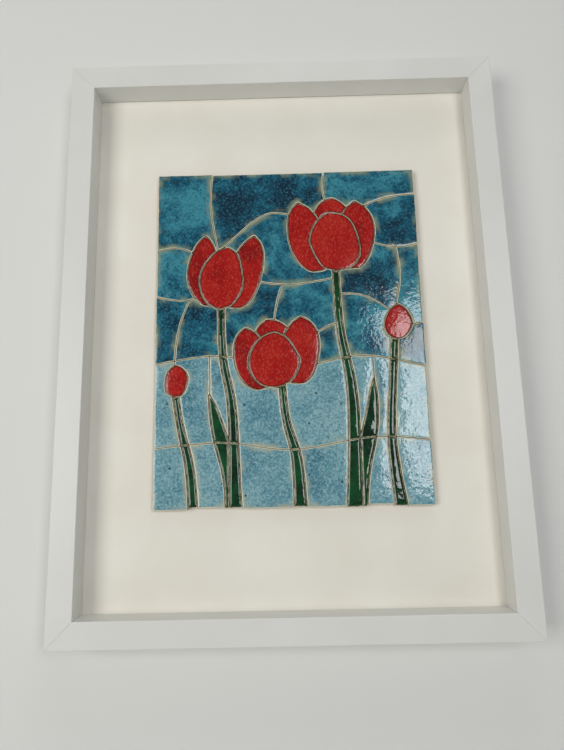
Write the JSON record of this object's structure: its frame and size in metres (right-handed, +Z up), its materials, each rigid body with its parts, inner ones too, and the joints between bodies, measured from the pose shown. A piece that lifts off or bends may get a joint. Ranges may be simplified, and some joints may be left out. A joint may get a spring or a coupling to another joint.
{
  "type": "mosaic panel",
  "caption": "Framed wall mosaic: glazed tiles cut to tulips over two grounds, glued to a mount board in a deep white box frame without glass, with a hanger behind.",
  "frame": {"origin": "middle of the top rail's wall side, where the frame bears on the wall", "axes": "+X to the right seen from the front, +Z up, +Y towards the wall"},
  "size_m": [0.33, 0.03, 0.432],
  "materials": {
    "white_foil": "satin",
    "mount_board": "matte",
    "hardboard": "matte",
    "zinc_plated_steel": "satin",
    "red_glaze": "gloss",
    "green_glaze": "gloss",
    "teal_glaze": "gloss",
    "pale_glaze": "gloss"
  },
  "bodies": {
    "root": {"frame_rail_top": "white_foil", "frame_rail_right": "white_foil", "frame_rail_bottom": "white_foil", "frame_rail_left": "white_foil", "mount_board": "mount_board", "back_panel": "hardboard", "retaining_tab_1": "zinc_plated_steel", "retaining_tab_2": "zinc_plated_steel", "retaining_tab_3": "zinc_plated_steel", "retaining_tab_4": "zinc_plated_steel", "hanger_plate": "zinc_plated_steel", "leaf_by_left_stem": "green_glaze", "leaf_by_tall_stem": "green_glaze", "left_bud": "red_glaze", "left_bud_stem": "green_glaze", "left_stem": "green_glaze", "left_tulip_front_petal": "red_glaze", "left_tulip_left_petal": "red_glaze", "left_tulip_right_petal": "red_glaze", "low_stem": "green_glaze", "low_tulip_back_petal": "red_glaze", "low_tulip_front_petal": "red_glaze", "low_tulip_left_petal": "red_glaze", "low_tulip_right_petal": "red_glaze", "pale_ground_1": "pale_glaze", "pale_ground_10": "pale_glaze", "pale_ground_11": "pale_glaze", "pale_ground_12": "pale_glaze", "pale_ground_13": "pale_glaze", "pale_ground_14": "pale_glaze", "pale_ground_2": "pale_glaze", "pale_ground_3": "pale_glaze", "pale_ground_4": "pale_glaze", "pale_ground_5": "pale_glaze", "pale_ground_6": "pale_glaze", "pale_ground_7": "pale_glaze", "pale_ground_8": "pale_glaze", "pale_ground_9": "pale_glaze", "right_bud": "red_glaze", "right_stem": "green_glaze", "tall_stem": "green_glaze", "tall_tulip_back_petal": "red_glaze", "tall_tulip_front_petal": "red_glaze", "tall_tulip_left_petal": "red_glaze", "tall_tulip_right_petal": "red_glaze", "teal_ground_1": "teal_glaze", "teal_ground_10": "teal_glaze", "teal_ground_11": "teal_glaze", "teal_ground_12": "teal_glaze", "teal_ground_13": "teal_glaze", "teal_ground_14": "teal_glaze", "teal_ground_15": "teal_glaze", "teal_ground_2": "teal_glaze", "teal_ground_3": "teal_glaze", "teal_ground_4": "teal_glaze", "teal_ground_5": "teal_glaze", "teal_ground_6": "teal_glaze", "teal_ground_7": "teal_glaze", "teal_ground_8": "teal_glaze", "teal_ground_9": "teal_glaze"}
  },
  "joints": []
}
